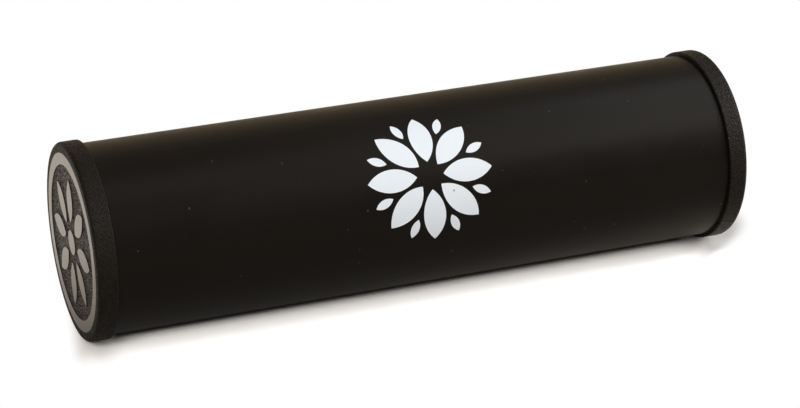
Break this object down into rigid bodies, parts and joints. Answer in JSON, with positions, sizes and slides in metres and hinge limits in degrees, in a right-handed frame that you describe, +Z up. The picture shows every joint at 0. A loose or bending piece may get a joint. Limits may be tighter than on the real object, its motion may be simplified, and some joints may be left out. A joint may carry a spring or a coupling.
{
  "type": "ganza shaker",
  "caption": "Sealed tube shaker: a matt black metal tube closed by moulded black end caps, with loose steel shot inside that slides and swirls when it is shaken.",
  "frame": {"origin": "on the tube's axis, midway between the two end planes", "axes": "+X runs along the tube and out of the right cap, +Z is up and -Y faces the viewer; the shaker lies on the rims of its caps"},
  "size_m": [0.207, 0.0596, 0.0596],
  "materials": {
    "tube_coat": "satin",
    "cap_plastic": "matte",
    "shot_steel": "gloss",
    "print_ink": "satin"
  },
  "bodies": {
    "shell": {"tube": "tube_coat", "left_cap": "cap_plastic", "right_cap": "cap_plastic"},
    "keel_row": {"shot_keel": "shot_steel"},
    "front_row_1": {"shot_front_1": "shot_steel"},
    "front_row_2": {"shot_front_2": "shot_steel"},
    "front_row_3": {"shot_front_3": "shot_steel"},
    "back_row_1": {"shot_back_1": "shot_steel"},
    "back_row_2": {"shot_back_2": "shot_steel"},
    "back_row_3": {"shot_back_3": "shot_steel"}
  },
  "joints": [
    {"name": "shot_swirl", "type": "hinge", "parent": "shell", "child": "keel_row", "pos_m": [0, 0, 0], "axis": [1, 0, 0], "continuous": true},
    {"name": "front_1_slide", "type": "slide", "parent": "keel_row", "child": "front_row_1", "axis": [1, 0, 0], "range_m": [-0.01875, 0.01875]},
    {"name": "front_2_slide", "type": "slide", "parent": "keel_row", "child": "front_row_2", "axis": [1, 0, 0], "range_m": [-0.04175, 0.04175]},
    {"name": "front_3_slide", "type": "slide", "parent": "keel_row", "child": "front_row_3", "axis": [1, 0, 0], "range_m": [-0.06475, 0.06475]},
    {"name": "back_1_slide", "type": "slide", "parent": "keel_row", "child": "back_row_1", "axis": [1, 0, 0], "range_m": [-0.01875, 0.01875]},
    {"name": "back_2_slide", "type": "slide", "parent": "keel_row", "child": "back_row_2", "axis": [1, 0, 0], "range_m": [-0.04175, 0.04175]},
    {"name": "back_3_slide", "type": "slide", "parent": "keel_row", "child": "back_row_3", "axis": [1, 0, 0], "range_m": [-0.06475, 0.06475]}
  ]
}
